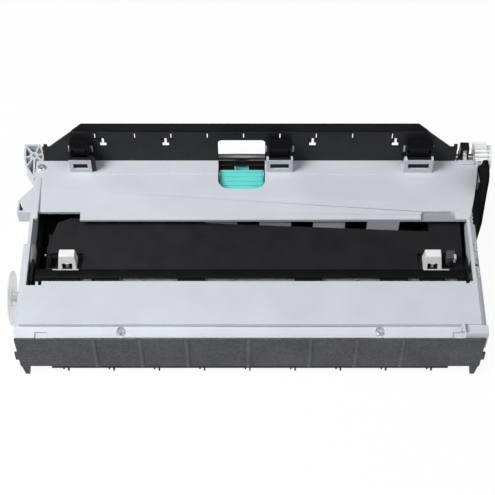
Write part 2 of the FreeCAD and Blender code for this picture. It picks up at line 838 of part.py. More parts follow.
def tray_deck():
    edge = deck_front_y - deck_bar_w
    slope = [
        (edge, deck_z(deck_front_y) - deck_t),
        (edge, deck_z(deck_front_y)),
        (deck_front_y, deck_z(deck_front_y)),
        (deck_rear_y, deck_z(deck_rear_y)),
        (deck_rear_y, deck_z(deck_rear_y) - deck_t),
        (deck_front_y, deck_z(deck_front_y) - deck_t),
    ]
    inner = tank_half_x - deck_wall
    sheet = slab_x(slope, -inner, inner)
    plan = slab_z(
        [
            (-inner, edge - 1),
            (inner, edge - 1),
            (inner, deck_rear_y),
            (deck_cut_x, deck_rear_y),
            (deck_cut_x, deck_right_rear_y),
            (-deck_cut_x, deck_rear_y),
            (-deck_corner_x, deck_corner_y),
            (-deck_side_x, deck_cut_y),
            (-deck_side_x, deck_front_y),
            (-inner, deck_front_y),
        ],
        0,
        top_z,
    )
    rim = tank_rim_z + tank_rim_t
    front_web = box(-inner, inner, edge, edge + deck_t, rim, deck_z(deck_front_y) - deck_t)
    solids = [sheet.common(plan), front_web]
    solids += both_sides(deck_bearing_walls)
    floor_z = deck_z(deck_front_y)
    solids += both_sides(lambda side: deck_seat(side, floor_z - deck_t, floor_z))
    for x in (-deck_side_x + deck_t, -tank_bay_x, tank_bay_x):
        under = [
            (edge, rim),
            (deck_right_rear_y - deck_t, rim),
            (deck_right_rear_y - deck_t, deck_z(deck_right_rear_y) - deck_t),
            (deck_front_y, deck_z(deck_front_y) - deck_t),
            (edge, deck_z(deck_front_y) - deck_t),
        ]
        solids.append(slab_x(under, x - tank_bay_wall / 2, x + tank_bay_wall / 2))
    holes = both_sides(lambda side: rod_x(front_centre, bush_r, side * tank_half_x - 3, side * tank_half_x + 3))
    holes += both_sides(lambda side: deck_seat(side, floor_z, top_z))
    for x, w in front_roller_places():
        half = w / 2 + roller_gap
        reach = roller_r + roller_gap
        holes.append(box(
            x - half, x + half, edge - 1, front_shaft_y + reach, front_shaft_z - reach, top_z))
    return cut(joined(solids), holes)


def guide_block(side):
    """White tapered block with a slot in its foot, standing on the deck's strip."""
    x = side * block_x
    z0 = deck_z(deck_front_y) + strip_t
    front = block_y - block_foot_d / 2
    rear = block_y + block_foot_d / 2
    sides = [(front, z0), (rear, z0), (rear - block_taper, z0 + block_h), (rear - block_top_d, z0 + block_h)]
    body = slab_x(sides, x - block_w / 2, x + block_w / 2)
    ends = [
        (x - block_w / 2, z0),
        (x + block_w / 2, z0),
        (x + block_w / 2 - block_taper, z0 + block_h),
        (x - block_w / 2 + block_taper, z0 + block_h),
    ]
    body = body.common(slab_y(ends, front - 1, rear + 1))
    slot = box(
        x - block_slot_w / 2, x + block_slot_w / 2, front - 1, block_y, z0 - 1, z0 + block_slot_h)
    post = box(x - block_slot_w / 8, x + block_slot_w / 8, front + wall, block_y, z0, z0 + block_slot_h)
    return joined([body.cut(slot), post])


def block_strip(side):
    """Metal strip under a guide block: a flat leaf with its front edge turned up."""
    x = side * block_x
    z0 = deck_z(deck_front_y)
    y0 = block_y - block_foot_d / 2 - 1
    leaf = box(x - strip_len / 2, x + strip_len / 2, y0, y0 + strip_d, z0, z0 + strip_t)
    lip = box(x - strip_len / 2, x + strip_len / 2, y0, y0 + strip_t, z0, z0 + 3 * strip_t)
    return joined([leaf, lip])


# Shafts and gears
def gear_face(teeth, phase, x):
    """Involute gear outline in the YZ plane, with a tooth centred on the phase angle."""
    pitch_r = gear_module * teeth / 2
    base_r = pitch_r * math.cos(math.radians(20))
    tip_r = pitch_r + gear_module
    root_r = pitch_r - 1.25 * gear_module
    pressure = math.radians(20)
    half_tooth = (math.pi * gear_module / 2 - gear_backlash) / 2 / pitch_r
    at_pitch = math.tan(pressure) - pressure

    def half_angle(r):
        cosine = min(1.0, base_r / r)
        roll = math.acos(cosine)
        return half_tooth + at_pitch - (math.tan(roll) - roll)
    flank = [(root_r, half_angle(max(base_r, root_r))), (pitch_r, half_angle(pitch_r)), (tip_r, half_angle(tip_r))]
    points = []
    for i in range(teeth):
        middle = phase + i * 2 * math.pi / teeth
        for r, half in flank:
            points.append((r, middle - half))
        for r, half in reversed(flank):
            points.append((r, middle + half))
    return face_of([V(x, r * math.cos(a), r * math.sin(a)) for r, a in points])


def gear_on(centre, teeth, phase, x0, width, hub_r, bore_r):
    """Spur gear with a hub and a bore, set on its shaft's axis."""
    body = gear_face(teeth, phase, x0).extrude(V(width, 0, 0))
    web_r = gear_module * teeth / 2 - 3 * gear_module
    if web_r > hub_r + 2:
        body = body.cut(Part.makeCylinder(web_r, hub_recess, V(x0 + width - hub_recess, 0, 0), V(1, 0, 0)))
    hub = Part.makeCylinder(hub_r, width + hub_extra - hub_recess, V(x0 - hub_extra, 0, 0), V(1, 0, 0))
    bore = Part.makeCylinder(bore_r, width + 4, V(x0 - 2, 0, 0), V(1, 0, 0))
    solid = joined([body, hub]).cut(bore)
    solid.translate(V(0, centre[0], centre[1]))
    return solid


def next_phase(phase, teeth, next_teeth, angle_deg):
    """Phase of the next gear so that its gaps face the teeth of the one before."""
    pitch = 2 * math.pi / teeth
    next_pitch = 2 * math.pi / next_teeth
    toward = math.radians(angle_deg)
    share = ((toward - phase) % pitch) / pitch
    return toward + math.pi + share * next_pitch + next_pitch / 2


front_phase = 0.0
idler_c_phase = next_phase(front_phase, front_teeth, idler_c_teeth, idler_c_deg)
idler_b_phase = next_phase(idler_c_phase, idler_c_teeth, idler_b_teeth, idler_b_deg)
idler_a_phase = next_phase(idler_b_phase, idler_b_teeth, idler_a_teeth, idler_a_deg)
rear_phase = next_phase(idler_a_phase, idler_a_teeth, rear_teeth, rear_deg)


def idler(centre, teeth, phase):
    return gear_on(centre, teeth, phase, gear_x, gear_w, shaft_r + wall, shaft_r + bore_play)


def shaft_gear(centre, teeth, phase):
    return gear_on(centre, teeth, phase, gear_x, gear_w, shaft_r + wall, shaft_r)


def front_shaft():
    return rod_x(front_centre, shaft_r, -tank_half_x - deck_wall, gear_x + gear_w)


def rear_shaft():
    return rod_x(rear_centre, shaft_r, shaft_left_x, drive_gear_x + drive_gear_w)


def rear_roller_places():
    return [(x, roller_w) for x in roller_xs]


def front_roller_places():
    """The front shaft has a shorter roller at each end as well."""
    return rear_roller_places() + [(-end_roller_x, end_roller_w), (end_roller_x, end_roller_w)]


def rollers(centre, places):
    """Rubber sleeves on a shaft."""
    solids = []
    for x, w in places:
        sleeve = rod_x(centre, roller_r, x - w / 2, x + w / 2)
        solids.append(sleeve.cut(rod_x(centre, shaft_r, x - w, x + w)))
    return Part.makeCompound(solids)


def shaft_clips():
    """Retaining rings on the front shaft."""
    solids = []
    for x in clip_xs:
        ring = rod_x(front_centre, clip_r, x - clip_t / 2, x + clip_t / 2)
        ring = ring.cut(rod_x(front_centre, shaft_r, x - clip_t, x + clip_t))
        gap = box(x - clip_t, x + clip_t, front_shaft_y - 1, front_shaft_y + 1, front_shaft_z - 2 * clip_r, front_shaft_z)
        solids.append(ring.cut(gap))
    return Part.makeCompound(solids)


def front_bush(side):
    """Flanged bush pressed into the end wall, with the flange outside it."""
    face = tank_half_x
    outer = frame_half_x if side > 0 else tank_half_x + bush_flange_t
    x0, x1 = sorted((side * (face - deck_wall), side * outer))
    sleeve = rod_x(front_centre, bush_r, x0, x1)
    f0, f1 = sorted((side * face, side * (face + bush_flange_t)))
    flange = rod_x(front_centre, bush_flange_r, f0, f1)
    return joined([sleeve, flange]).cut(rod_x(front_centre, shaft_r + bore_play, x0 - 5, x1 + 5))


def drive_gear():
    """Wide white gear at the end of the rear shaft, with a plain disc outside it."""
    gear = gear_on(rear_centre, rear_teeth, 0, drive_gear_x, drive_gear_w, shaft_r + wall, shaft_r)
    x1 = drive_gear_x + drive_gear_w
    disc = rod_x(rear_centre, drive_hub_r, x1, x1 + drive_hub_w)
    cup = rod_x(rear_centre, drive_hub_r - wall, x1 + drive_hub_w / 2, x1 + drive_hub_w + 1)
    return joined([gear, disc.cut(cup)])


def idler_studs():
    """Three steel pins in the frame's right wall, with a head that keeps each gear on."""
    solids = []
    for centre in (idler_a_centre, idler_b_centre, idler_c_centre):
        x1 = gear_x + gear_w - hub_recess + stud_play
        pin = rod_x(centre, shaft_r, skirt_x, x1)
        head = rod_x(centre, stud_head_r, x1, x1 + stud_head_t)
        solids.append(joined([pin, head]))
    return Part.makeCompound(solids)


def shaft_bracket():
    """Black fork that carries the rear shaft on both sides of its inner gear."""
    low_z = rear_centre[1] - gear_module * (rear_teeth / 2 + 1) - 1
    base_low = low_z - bracket_base_h
    y0 = rear_y
    y1 = rear_y + cheek_w
    neck0 = rear_centre[0] - cheek_neck_w / 2
    neck1 = rear_centre[0] + cheek_neck_w / 2
    outline = [
        (y0, base_low),
        (y1, base_low),
        (y1, rear_centre[1]),
        (neck1, rear_centre[1] + shaft_r + wall),
        (neck1, rear_centre[1] + cheek_top),
        (neck0, rear_centre[1] + cheek_top),
        (neck0, rear_centre[1] + shaft_r + wall),
        (y0, rear_centre[1]),
    ]
    inner_x1 = gear_x - hub_extra - cheek_gap
    outer_x0 = gear_x + gear_w + cheek_gap
    inner = slab_x(outline, inner_x1 - cheek_t, inner_x1)
    outer = slab_x(outline, outer_x0, outer_x0 + cheek_t)
    base = box(inner_x1 - cheek_t, outer_x0 + cheek_t, y0 + cheek_w / 2, y1, base_low, low_z)
    foot = box(outer_x0, outer_x0 + cheek_t + bracket_foot_w, y0, y1, base_low, low_z)
    bore = rod_x(rear_centre, shaft_r + bore_play, inner_x1 - 3 * cheek_t, outer_x0 + 3 * cheek_t)
    cap_z = rear_centre[1] + cheek_top
    cap = box(inner_x1 - cheek_t, outer_x0 + cheek_t, neck0, neck1, cap_z - cheek_cap_t, cap_z)
    return joined([inner, outer, base, foot, cap]).cut(bore)


# Covers, arm and wheel
def gear_cover():
    """Gray cover over the front half of the gear train, with a slot over one gear."""
    x0 = frame_half_x
    z0 = cover_bottom_z
    z1 = top_z - cover_drop
    y0 = frame_front_y
    y1 = opening_rear_y - cover_rear_gap
    body = box(x0, cover_x, y0, y1, z0, z1)
    core = box(x0 - 1, cover_x - cover_t, y0 + cover_t, y1 + 1, z0 + cover_t, z1 - cover_t)
    slot = box(x0 - 1, cover_x + 1, cover_slot_y, cover_slot_y + cover_slot_w, z1 - cover_slot_h, z1 + 1)
    edge = slab_y([(cover_x - cover_edge, z1), (cover_x + 1, z1 - cover_edge - 1), (cover_x + 1, z1)], y0 - 1, y1 + 1)
    return cut(body, [core, slot, edge])


def left_cover():
    """Gray cover at the left end, with a hole for the wheel's axle."""
    x1 = -frame_half_x
    x0 = x1 - left_cover_out
    z0 = cover_bottom_z
    z1 = top_z - left_cover_drop
    y0 = frame_front_y
    y1 = left_cover_rear_y
    body = box(x0, x1, y0, y1, z0, z1)
    core = box(x0 + cover_t, x1 + 1, y0 + cover_t, y1 - cover_t, z0 + cover_t, z1 - cover_t)
    hole = rod_x((wheel_y, wheel_z), axle_r, x0 - 1, x0 + 2 * cover_t)
    return body.cut(core).cut(hole)


def side_arm():
    """Black arm at the right end: a rounded head over a leg that reaches the floor."""
    head_y = arm_bottom_y + arm_w * 0.5
    head_r = arm_w * 0.36
    front = [
        V(0, arm_bottom_y, 0),
        V(0, arm_bottom_y - 3, top_z * 0.54),
        V(0, arm_bottom_y + 1.5, top_z),
        V(0, arm_bottom_y + 3.5, arm_top_z - head_r * 1.1),
    ]
    crown = V(0, head_y, arm_top_z)
    rear = [
        V(0, head_y + head_r, arm_top_z - head_r),
        V(0, arm_bottom_y + arm_w + 6, top_z - 2),
        V(0, arm_bottom_y + arm_w + 5, top_z * 0.5),
        V(0, arm_bottom_y + arm_w + 4, 0),
    ]
    edges = [Part.LineSegment(a, b).toShape() for a, b in zip(front, front[1:])]
    edges.append(Part.Arc(front[-1], crown, rear[0]).toShape())
    edges += [Part.LineSegment(a, b).toShape() for a, b in zip(rear, rear[1:])]
    edges.append(Part.LineSegment(rear[-1], front[0]).toShape())
    plan = Part.Face(Part.Wire(edges))
    plan.translate(V(arm_x, 0, 0))
    body = plan.extrude(V(arm_t, 0, 0))
    return body.cut(rod_x(arm_screw_place(), screw_r + bore_play, arm_x - 1, arm_x + arm_t + 1))


def left_wheel():
    """Thin white wheel with a thicker rim and a hub."""
    centre = (wheel_y, wheel_z)
    disc = rod_x(centre, wheel_r, wheel_x - wheel_t / 2, wheel_x + wheel_t / 2)
    rim = rod_x(centre, wheel_r, wheel_x - wheel_rim_t / 2, wheel_x + wheel_rim_t / 2)
    rim = rim.cut(rod_x(centre, wheel_r - wheel_rim_w, wheel_x - wheel_rim_t, wheel_x + wheel_rim_t))
    hub = rod_x(centre, wheel_hub_r, wheel_x - wheel_t, wheel_x - wheel_t + wheel_hub_w)
    bore = rod_x(centre, axle_r + bore_play, wheel_x - wheel_hub_w, wheel_x + 2 * wheel_hub_w)
    return joined([disc, rim, hub]).cut(bore)


def wheel_axle():
    """Steel pin for the wheel, with a head outside and a shoulder inside the hub."""
    centre = (wheel_y, wheel_z)
    hub_out = wheel_x - wheel_t
    hub_in = hub_out + wheel_hub_w
    pin = rod_x(centre, axle_r, hub_out - latch_play - stud_head_t, -skirt_x)
    head = rod_x(centre, axle_r + wall, hub_out - latch_play - stud_head_t, hub_out - latch_play)
    shoulder = rod_x(centre, axle_r + wall, hub_in + latch_play, -frame_half_x - left_cover_out)
    return joined([pin, head, shoulder])


# Latch
def latch_slider():
    """Teal latch: a sloping grip with ribs, two rails and a bolt under the shaft."""
    y0 = latch_front_y()
    y1 = y0 + latch_d
    x0 = window_x - latch_w / 2
    x1 = window_x + latch_w / 2
    front_z = top_z - latch_front_drop
    rear_z = top_z - latch_rear_drop
    grip = [(y0, front_z - latch_t), (y0, front_z), (y1, rear_z), (y1, rear_z - latch_t)]
    solids = [slab_x(grip, x0, x1)]
    slope = (rear_z - front_z) / latch_d
    pitch = latch_d / latch_rib_count
    for i in range(latch_rib_count):
        a = y0 + (i + 0.5) * pitch - latch_rib_w / 2
        b = a + latch_rib_w
        z_a = front_z + slope * (a - y0)
        z_b = front_z + slope * (b - y0)
        rib = [(a, z_a - 0.5), (a, z_a + latch_rib_h), (b, z_b + latch_rib_h), (b, z_b - 0.5)]
        solids.append(slab_x(rib, x0 + 1, x1 - 1))
    rail_low = top_z - latch_rail_drop
    rail_high = rail_low + latch_rail_t
    solids.append(box(x0 - latch_rail_w, x1 + latch_rail_w, y0, y1, rail_low, rail_high))
    cheek = [(y0, rail_low), (y0, front_z - 0.5), (y1, rear_z - 0.5), (y1, rail_low)]
    solids.append(slab_x(cheek, x0, x0 + wall))
    solids.append(slab_x(cheek, x1 - wall, x1))
    bolt = [
        (y1 - wall, rail_low - bolt_t),
        (y1 + bolt_len - bolt_t, rail_low - bolt_t),
        (y1 + bolt_len, rail_low - bolt_t / 4),
        (y1 + bolt_len, rail_low),
        (y1 - wall, rail_low),
    ]
    solids.append(slab_x(bolt, window_x - bolt_w / 2, window_x + bolt_w / 2))
    solids.append(box(
        window_x - bolt_w / 2, window_x + bolt_w / 2, y0 + wall, y1, rail_low - bolt_t, rail_low))
    post = rod_y(window_x, spring_z(), spring_r - 2 * spring_wire_r - 0.2, y0 - spring_post_len, y0)
    solids.append(post)
    return joined(solids)


def latch_spring():
    """Compression spring between the frame's stop and the latch, its wire in short straight steps."""
    middle_r = spring_r - spring_wire_r
    length = spring_len - 2 * spring_wire_r - 2 * bore_play
    y0 = spring_stop_y() + spring_wire_r + bore_play
    count = spring_turns * spring_steps
    rings = []
    for i in range(count + 1):
        turn = 2 * math.pi * i / spring_steps
        ring = []
        for j in range(spring_sides):
            around = 2 * math.pi * (j + 0.5) / spring_sides
            r = middle_r + spring_wire_r * math.cos(around)
            y = y0 + length * i / count + spring_wire_r * math.sin(around)
            ring.append(V(window_x + r * math.cos(turn), y, spring_z() + r * math.sin(turn)))
        rings.append(ring)
    faces = [face_of(rings[0]), face_of(rings[-1])]
    for one, two in zip(rings, rings[1:]):
        for j in range(spring_sides):
            k = (j + 1) % spring_sides
            faces.append(face_of([one[j], one[k], two[k]]))
            faces.append(face_of([one[j], two[k], two[j]]))
    return Part.makeSolid(Part.makeShell(faces))


def finger_guard():
    """Black rounded guard in front of the rear shaft, between the window's sides."""
    outer = rod_x(rear_centre, guard_r + guard_t, window_left, window_right)
    inner = rod_x(rear_centre, guard_r, window_left - 1, window_right + 1)
    ring = outer.cut(inner)
    y, z = rear_centre
    big = 4 * guard_r
    low = z - 0.8 * guard_r
    keep = slab_x([(y, z - 1), (y - big, z + big * 0.6), (y - big, low), (y, low)], window_left, window_right)
    solids = [ring.common(keep)]
    for x in (window_left - wall, window_right):
        solids.append(box(x, x + wall, rear_y, y - guard_r * 0.5, z - guard_r - guard_t, top_z - wall))
    return cut(joined(solids), [rod_x(rear_centre, guard_r, window_left - 3, window_right + 3)])


# Small parts
def screw_at(x, y, z):
    """Pan-head screw whose head rests at the given place, with a cross recess."""
    head = rod_z(x, y, screw_head_r, z, z + screw_head_h)
    rim = [e for e in head.Edges if abs(e.CenterOfMass.z - z - screw_head_h) < 0.01]
    head = head.makeChamfer(screw_head_h / 3, rim)
    shank = rod_z(x, y, screw_r, z - screw_len, z)
    arm = screw_head_r * 0.6
    deep = screw_head_h * 0.5
    slots = [
        box(x - arm, x + arm, y - 0.35, y + 0.35, z + deep, z + screw_head_h + 1),
        box(x - 0.35, x + 0.35, y - arm, y + arm, z + deep, z + screw_head_h + 1),
    ]
    return cut(joined([head, shank]), slots)


def frame_screws():
    return Part.makeCompound([screw_at(x, y, z) for x, y, z in frame_screw_places()])


def arm_screw():
    screw = screw_at(0, 0, 0)
    screw.rotate(V(0, 0, 0), V(0, 1, 0), 90)
    y, z = arm_screw_place()
    screw.translate(V(arm_x + arm_t, y, z))
    return screw


def side_bracket(side):
    """Small black bracket beside a guide block: a foot and an upright with a nose."""
    x = side * bracket_x
    z0 = deck_z(deck_front_y)
    y0 = block_y - bracket_d / 2
    y1 = block_y + bracket_d / 2
    outline = [
        (y0, z0),
        (y1, z0),
        (y1, z0 + bracket_h * 0.5),
        (y0 + bracket_d * 0.6, z0 + bracket_h),
        (y0 + bracket_d * 0.3, z0 + bracket_h),
        (y0, z0 + bracket_h * 0.4),
    ]
    upright = slab_x(outline, x - bracket_t / 2, x + bracket_t / 2)
    foot = box(x - 2 * bracket_t, x + 2 * bracket_t, y0 - deck_t, deck_front_y, z0, z0 + bracket_t)
    return joined([upright, foot])


pieces = {
    "top_frame": top_frame,
    "rear_plate": rear_plate,
    "front_panel": front_panel,
    "bottom_guide": bottom_guide,
    "ink_tank": ink_tank,
    "felt_left": lambda: felt_pad(0),
    "felt_centre": lambda: felt_pad(1),
    "felt_right": lambda: felt_pad(2),
    "tray_deck": tray_deck,
    "guide_block_left": lambda: guide_block(-1),
    "guide_block_right": lambda: guide_block(1),
    "block_strip_left": lambda: block_strip(-1),
    "block_strip_right": lambda: block_strip(1),
    "side_bracket_left": lambda: side_bracket(-1),
    "side_bracket_right": lambda: side_bracket(1),
    "front_shaft": front_shaft,
    "front_rollers": lambda: rollers(front_centre, front_roller_places()),
    "front_shaft_clips": shaft_clips,
    "front_gear": lambda: shaft_gear(front_centre, front_teeth, front_phase),
    "front_bush_left": lambda: front_bush(-1),
    "front_bush_right": lambda: front_bush(1),
    "idler_gear_c": lambda: idler(idler_c_centre, idler_c_teeth, idler_c_phase),
    "idler_gear_b": lambda: idler(idler_b_centre, idler_b_teeth, idler_b_phase),
    "idler_gear_a": lambda: idler(idler_a_centre, idler_a_teeth, idler_a_phase),
    "idler_studs": idler_studs,
    "rear_shaft": rear_shaft,
    "rear_rollers": lambda: rollers(rear_centre, rear_roller_places()),
    "rear_inner_gear": lambda: shaft_gear(rear_centre, rear_teeth, rear_phase),
    "drive_gear": drive_gear,
    "shaft_bracket": shaft_bracket,
    "gear_cover": gear_cover,
    "left_cover": left_cover,
    "side_arm": side_arm,
    "arm_screw": arm_screw,
    "left_wheel": left_wheel,
    "wheel_axle": wheel_axle,
    "latch_slider": latch_slider,
    "latch_spring": latch_spring,
    "finger_guard": finger_guard,
    "frame_screws": frame_screws,
}

os.makedirs("parts", exist_ok=True)
for name, make in pieces.items():
    make().exportStep("parts/" + name + ".step")
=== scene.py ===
import bpy
import math
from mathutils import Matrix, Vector


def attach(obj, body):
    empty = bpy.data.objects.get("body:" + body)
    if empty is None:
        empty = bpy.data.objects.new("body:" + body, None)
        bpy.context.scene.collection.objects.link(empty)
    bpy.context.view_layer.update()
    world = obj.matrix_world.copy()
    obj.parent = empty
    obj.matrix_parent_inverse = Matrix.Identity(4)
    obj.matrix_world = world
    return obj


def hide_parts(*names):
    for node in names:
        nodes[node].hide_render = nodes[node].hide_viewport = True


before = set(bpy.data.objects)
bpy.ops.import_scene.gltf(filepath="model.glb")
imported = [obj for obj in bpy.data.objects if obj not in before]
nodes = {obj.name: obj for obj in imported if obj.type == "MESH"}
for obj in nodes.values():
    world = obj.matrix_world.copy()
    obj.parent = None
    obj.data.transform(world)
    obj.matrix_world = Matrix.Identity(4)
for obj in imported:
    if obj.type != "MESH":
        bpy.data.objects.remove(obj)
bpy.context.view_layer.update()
mm = 0.001
bpy.context.scene.view_settings.view_transform = "Standard"


# Floor, light and camera. The unit stands on a white table in soft studio light,
# with the main lamp high on the left, and is seen from above its front panel.
def node_material(name):
    """A node material with its tree, its shader and the object's own coordinates."""
    material = bpy.data.materials.new(name)
    material.use_nodes = True
    tree = material.node_tree
    shader = tree.nodes["Principled BSDF"]
    place = tree.nodes.new("ShaderNodeTexCoord").outputs["Object"]
    return material, tree, shader, place


def seen_directly(tree):
    """1 for what the camera sees itself, in a reflection or through clear plastic, and 0 for lighting."""
    path = tree.nodes.new("ShaderNodeLightPath")
    seen = path.outputs["Is Camera Ray"]
    for ray in ("Is Glossy Ray", "Is Transmission Ray"):
        either = tree.nodes.new("ShaderNodeMath")
        either.operation = "MAXIMUM"
        tree.links.new(seen, either.inputs[0])
        tree.links.new(path.outputs[ray], either.inputs[1])
        seen = either.outputs[0]
    return seen


bpy.ops.object.select_all(action="DESELECT")
bpy.ops.mesh.primitive_plane_add(size=8)
floor = bpy.context.object
floor.name = "table_top"

table_white, tree, shader, _ = node_material("table_white")
shader.inputs["Base Color"].default_value = (0.93, 0.93, 0.93, 1)
shader.inputs["Roughness"].default_value = 0.8
glow = tree.nodes.new("ShaderNodeEmission")
glow.inputs["Strength"].default_value = 1.0
glow_share = 0.94
share = tree.nodes.new("ShaderNodeMath")
share.operation = "MULTIPLY"
share.inputs[1].default_value = glow_share
tree.links.new(seen_directly(tree), share.inputs[0])
blend = tree.nodes.new("ShaderNodeMixShader")
tree.links.new(share.outputs[0], blend.inputs[0])
tree.links.new(shader.outputs[0], blend.inputs[1])
tree.links.new(glow.outputs[0], blend.inputs[2])
tree.links.new(blend.outputs[0], tree.nodes["Material Output"].inputs["Surface"])
floor.data.materials.append(table_white)

world = bpy.data.worlds.new("studio")
world.use_nodes = True
bpy.context.scene.world = world
tree = world.node_tree
lighting_level, seen_level = 0.72, 1.0
level = tree.nodes.new("ShaderNodeMapRange")
level.inputs["To Min"].default_value = lighting_level
level.inputs["To Max"].default_value = seen_level
tree.links.new(seen_directly(tree), level.inputs["Value"])
tree.links.new(level.outputs[0], tree.nodes["Background"].inputs["Strength"])


def soft_box(name, place, size, watts):
    """A square lamp with a soft edge, turned towards the object."""
    lamp = bpy.data.lights.new(name, "AREA")
    lamp.size = size
    lamp.energy = watts
    holder = bpy.data.objects.new(name, lamp)
    bpy.context.scene.collection.objects.link(holder)
    holder.location = place
    aim = Vector((0, 0, 0.03)) - Vector(place)
    holder.rotation_euler = aim.to_track_quat("-Z", "Y").to_euler()


soft_box("key_lamp", (-0.85, -0.35, 1.25), 0.7, 23)
soft_box("fill_lamp", (0.9, -0.45, 1.25), 1.2, 9)

camera = bpy.data.objects.new("camera", bpy.data.cameras.new("camera"))
bpy.context.scene.collection.objects.link(camera)
camera.location = (-0.001, -0.5420, 0.8271)
camera.rotation_euler = (math.radians(35), 0, 0)
camera.data.sensor_width = 36
camera.data.lens = 98.18
camera.data.shift_x = -0.002
camera.data.clip_start = 0.01
bpy.context.scene.camera = camera


# Gray frame and covers: light gray moulded plastic with a fine matte skin. Each is
# a single shot with softened edges, and the covers clip to the frame's two ends.
def mottled(tree, place, scale, low, high, detail=3):
    """A number that drifts softly between low and high over the surface."""
    noise = tree.nodes.new("ShaderNodeTexNoise")
    noise.inputs["Scale"].default_value = scale
    noise.inputs["Detail"].default_value = detail
    tree.links.new(place, noise.inputs["Vector"])
    spread = tree.nodes.new("ShaderNodeMapRange")
    spread.inputs["From Min"].default_value = 0.3
    spread.inputs["From Max"].default_value = 0.7
    spread.inputs["To Min"].default_value = low
    spread.inputs["To Max"].default_value = high
    tree.links.new(noise.outputs["Fac"], spread.inputs["Value"])
    return spread.outputs[0]


def tinted(tree, colour, shade):
    """The colour made darker or lighter by a number around 1."""
    mix = tree.nodes.new("ShaderNodeVectorMath")
    mix.operation = "SCALE"
    mix.inputs[0].default_value = colour
    tree.links.new(shade, mix.inputs["Scale"])
    return mix.outputs[0]


def moulded(name, colour, roughness, grain, height, drift=0.04, gloss=0.5, metallic=0):
    """A colour that drifts a little, on a skin with a grain of that size and height in mm."""
    material, tree, shader, place = node_material(name)
    shade = mottled(tree, place, 30, 1 - drift, 1 + drift)
    tree.links.new(tinted(tree, colour, shade), shader.inputs["Base Color"])
    polish = mottled(tree, place, 90, roughness - 0.06, roughness + 0.06)
    tree.links.new(polish, shader.inputs["Roughness"])
    shader.inputs["Specular IOR Level"].default_value = gloss
    shader.inputs["Metallic"].default_value = metallic
    skin = tree.nodes.new("ShaderNodeBump")
    skin.inputs["Distance"].default_value = height * mm
    tree.links.new(mottled(tree, place, 1 / (grain * mm), 0, 1, 2), skin.inputs["Height"])
    tree.links.new(skin.outputs[0], shader.inputs["Normal"])
    return material


smooth_angle = math.radians(40)


def softened(node, edge, material, body="container"):
    """The solid's own shape with its mesh joined up and its sharp edges rounded, in its finish."""
    bpy.ops.object.select_all(action="DESELECT")
    piece = nodes[node].copy()
    piece.data = nodes[node].data.copy()
    piece.name = node + "_shell"
    bpy.context.scene.collection.objects.link(piece)
    piece.parent = None
    bpy.context.view_layer.objects.active = piece
    piece.select_set(True)
    bpy.ops.mesh.customdata_custom_splitnormals_clear()
    bpy.ops.object.mode_set(mode="EDIT")
    bpy.ops.mesh.select_all(action="SELECT")
    bpy.ops.mesh.remove_doubles(threshold=0.002 * mm)
    bpy.ops.object.mode_set(mode="OBJECT")
    rounding = piece.modifiers.new("rounding", "BEVEL")
    rounding.width = edge * mm
    rounding.segments = 2
    rounding.limit_method = "ANGLE"
    rounding.angle_limit = math.radians(35)
    rounding.use_clamp_overlap = False
    bpy.ops.object.modifier_apply(modifier="rounding")
    bpy.ops.object.shade_smooth_by_angle(angle=smooth_angle)
    wide_face = 4 * mm * mm
    for face in piece.data.polygons:
        if face.area > wide_face:
            face.use_smooth = False
    piece.data.materials.clear()
    piece.data.materials.append(material)
    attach(piece, body)
    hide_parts(node)
    return piece


def repainted(piece, material, chosen):
    """Gives a second finish to the faces that a test of their centre in mm and their normal picks."""
    piece.data.materials.append(material)
    for face in piece.data.polygons:
        if chosen(*(face.center / mm), face.normal):
            face.material_index = 1


def shifted(piece, move, chosen):
    """Moves the corners that a test of their place in mm picks. The piece is the active one."""
    for part in (piece.data.polygons, piece.data.edges):
        for item in part:
            item.select = False
    for corner in piece.data.vertices:
        corner.select = chosen(*(corner.co / mm))
    bpy.ops.object.mode_set(mode="EDIT")
    bpy.ops.mesh.select_mode(type="VERT")
    bpy.ops.transform.translate(value=[way * mm for way in move])
    bpy.ops.object.mode_set(mode="OBJECT")


def scoop_floor_in_shade(x, y, z, normal):
    """The floor of the shallow scoop at the bar's right end, painted darker as the shade in the recess.
    """
    return 121.5 < x < 146.5 and 20 < y < 31.9 and 45 < z < 52.9 and normal.z > 0.3


def behind_loop(x, y, z):
    """The upper rear corners of the three snap loops."""
    return z > 60 and y > 73 and any(abs(x - loop) < 12 for loop in loop_xs)


def cover_corner(x, y, z):
    """The upper outer edge of the right cover."""
    return x > 158.8 and z > 49.5


loop_xs = (-122.6, 21.5, 122.0)
gray_plastic = moulded("gray_plastic", (0.605, 0.64, 0.684), 0.5, 0.5, 0.01)
# A darker copy of the frame's gray, used as painted shade on the scoop's floor and on the strip beside
# the left band.
painted_shade_gray = moulded("painted_shade_gray", (0.30, 0.32, 0.35), 0.6, 0.5, 0.01)
shell = softened("top_frame", 0.25, gray_plastic)
repainted(shell, painted_shade_gray, scoop_floor_in_shade)
shifted(shell, (0, -4.7, 0), behind_loop)
cover = softened("gear_cover", 0.3, gray_plastic)
shifted(cover, (0, 0, -5), cover_corner)
softened("left_cover", 0.5, gray_plastic)


# Pad on the bar: raised a little at its rear right corner, and moulded in one shot
# with the frame in the same light gray plastic.
def block(name, low, high, edge, material):
    """A box between two corners in mm with rounded edges, in its finish on the container."""
    bpy.ops.object.select_all(action="DESELECT")
    size = [(b - a) * mm for a, b in zip(low, high)]
    centre = [(a + b) / 2 * mm for a, b in zip(low, high)]
    bpy.ops.mesh.primitive_cube_add(size=1, location=centre, scale=size)
    piece = bpy.context.object
    piece.name = name
    bpy.ops.object.transform_apply(location=True, rotation=True, scale=True)
    bpy.ops.object.mode_set(mode="EDIT")
    bpy.ops.mesh.select_all(action="SELECT")
    bpy.ops.mesh.bevel(offset=edge * mm, segments=3, affect="EDGES")
    bpy.ops.object.mode_set(mode="OBJECT")
    bpy.ops.object.shade_smooth_by_angle(angle=smooth_angle)
    piece.data.materials.append(material)
    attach(piece, "container")


